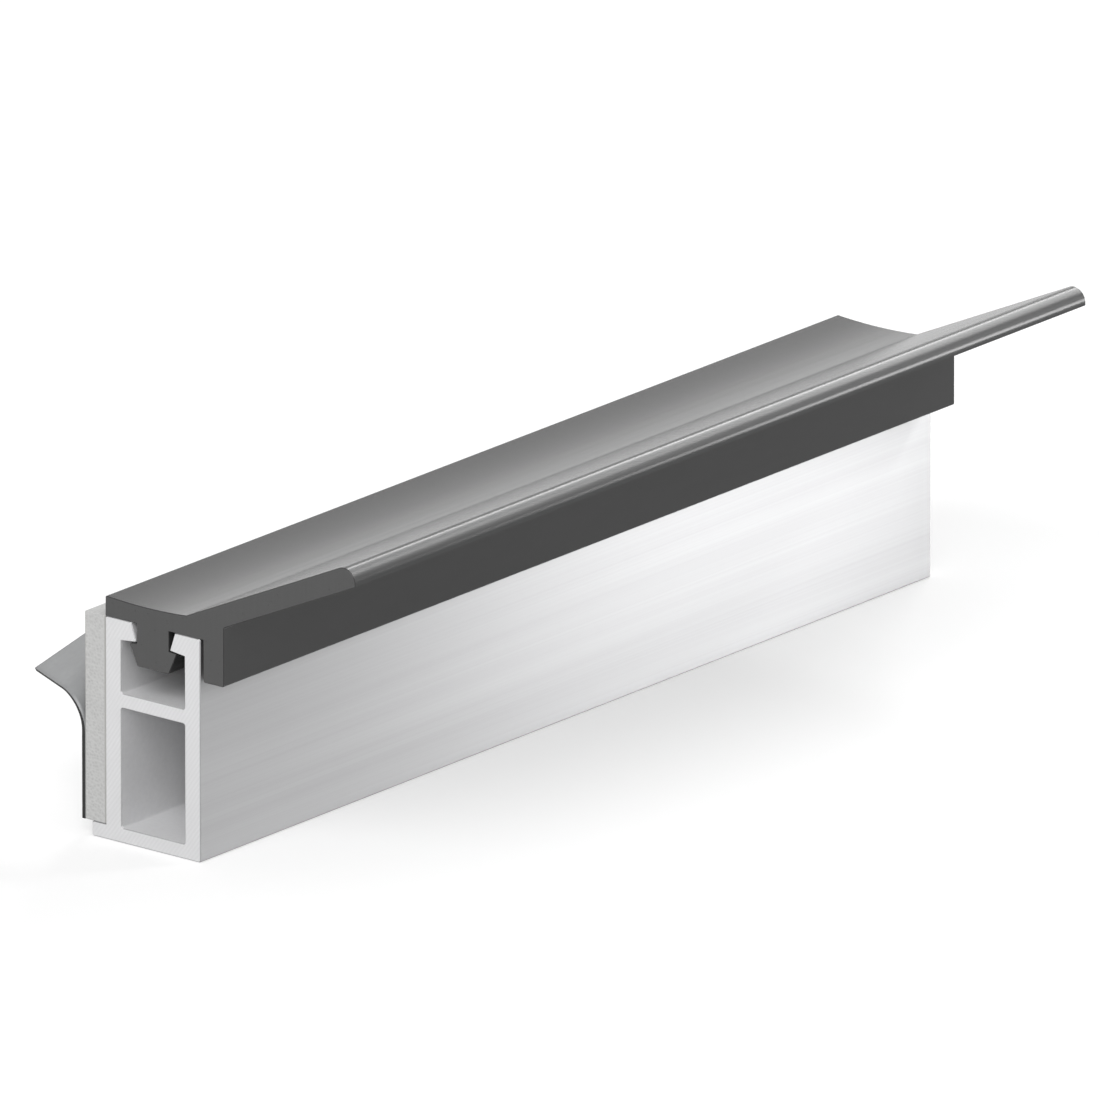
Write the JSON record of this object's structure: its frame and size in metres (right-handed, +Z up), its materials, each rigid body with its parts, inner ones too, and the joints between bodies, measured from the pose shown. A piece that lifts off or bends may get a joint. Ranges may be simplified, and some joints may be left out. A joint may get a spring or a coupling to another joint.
{
  "type": "door seal strip",
  "caption": "Self-adhesive door seal strip: a hollow aluminium carrier that holds a rubber lip seal, with foam tape and a partly peeled release liner on its back.",
  "frame": {"origin": "on the carrier's underside, midway between the outer faces of its two walls and midway along the strip", "axes": "+X across the strip, from the taped back wall to the front wall that the lip stands over; +Y along the strip, away from the end where the liner is peeled; +Z up, from the carrier's underside to the seal"},
  "size_m": [0.0286, 0.075, 0.0222],
  "materials": {
    "carrier": "natural anodised, satin",
    "seal": "satin, extruded",
    "tape": "closed-cell foam, matt",
    "liner": "siliconised release paper, satin"
  },
  "bodies": {
    "root": {"carrier_profile": "carrier", "lip_seal": "seal", "foam_tape": "tape", "release_liner": "liner"}
  },
  "joints": []
}
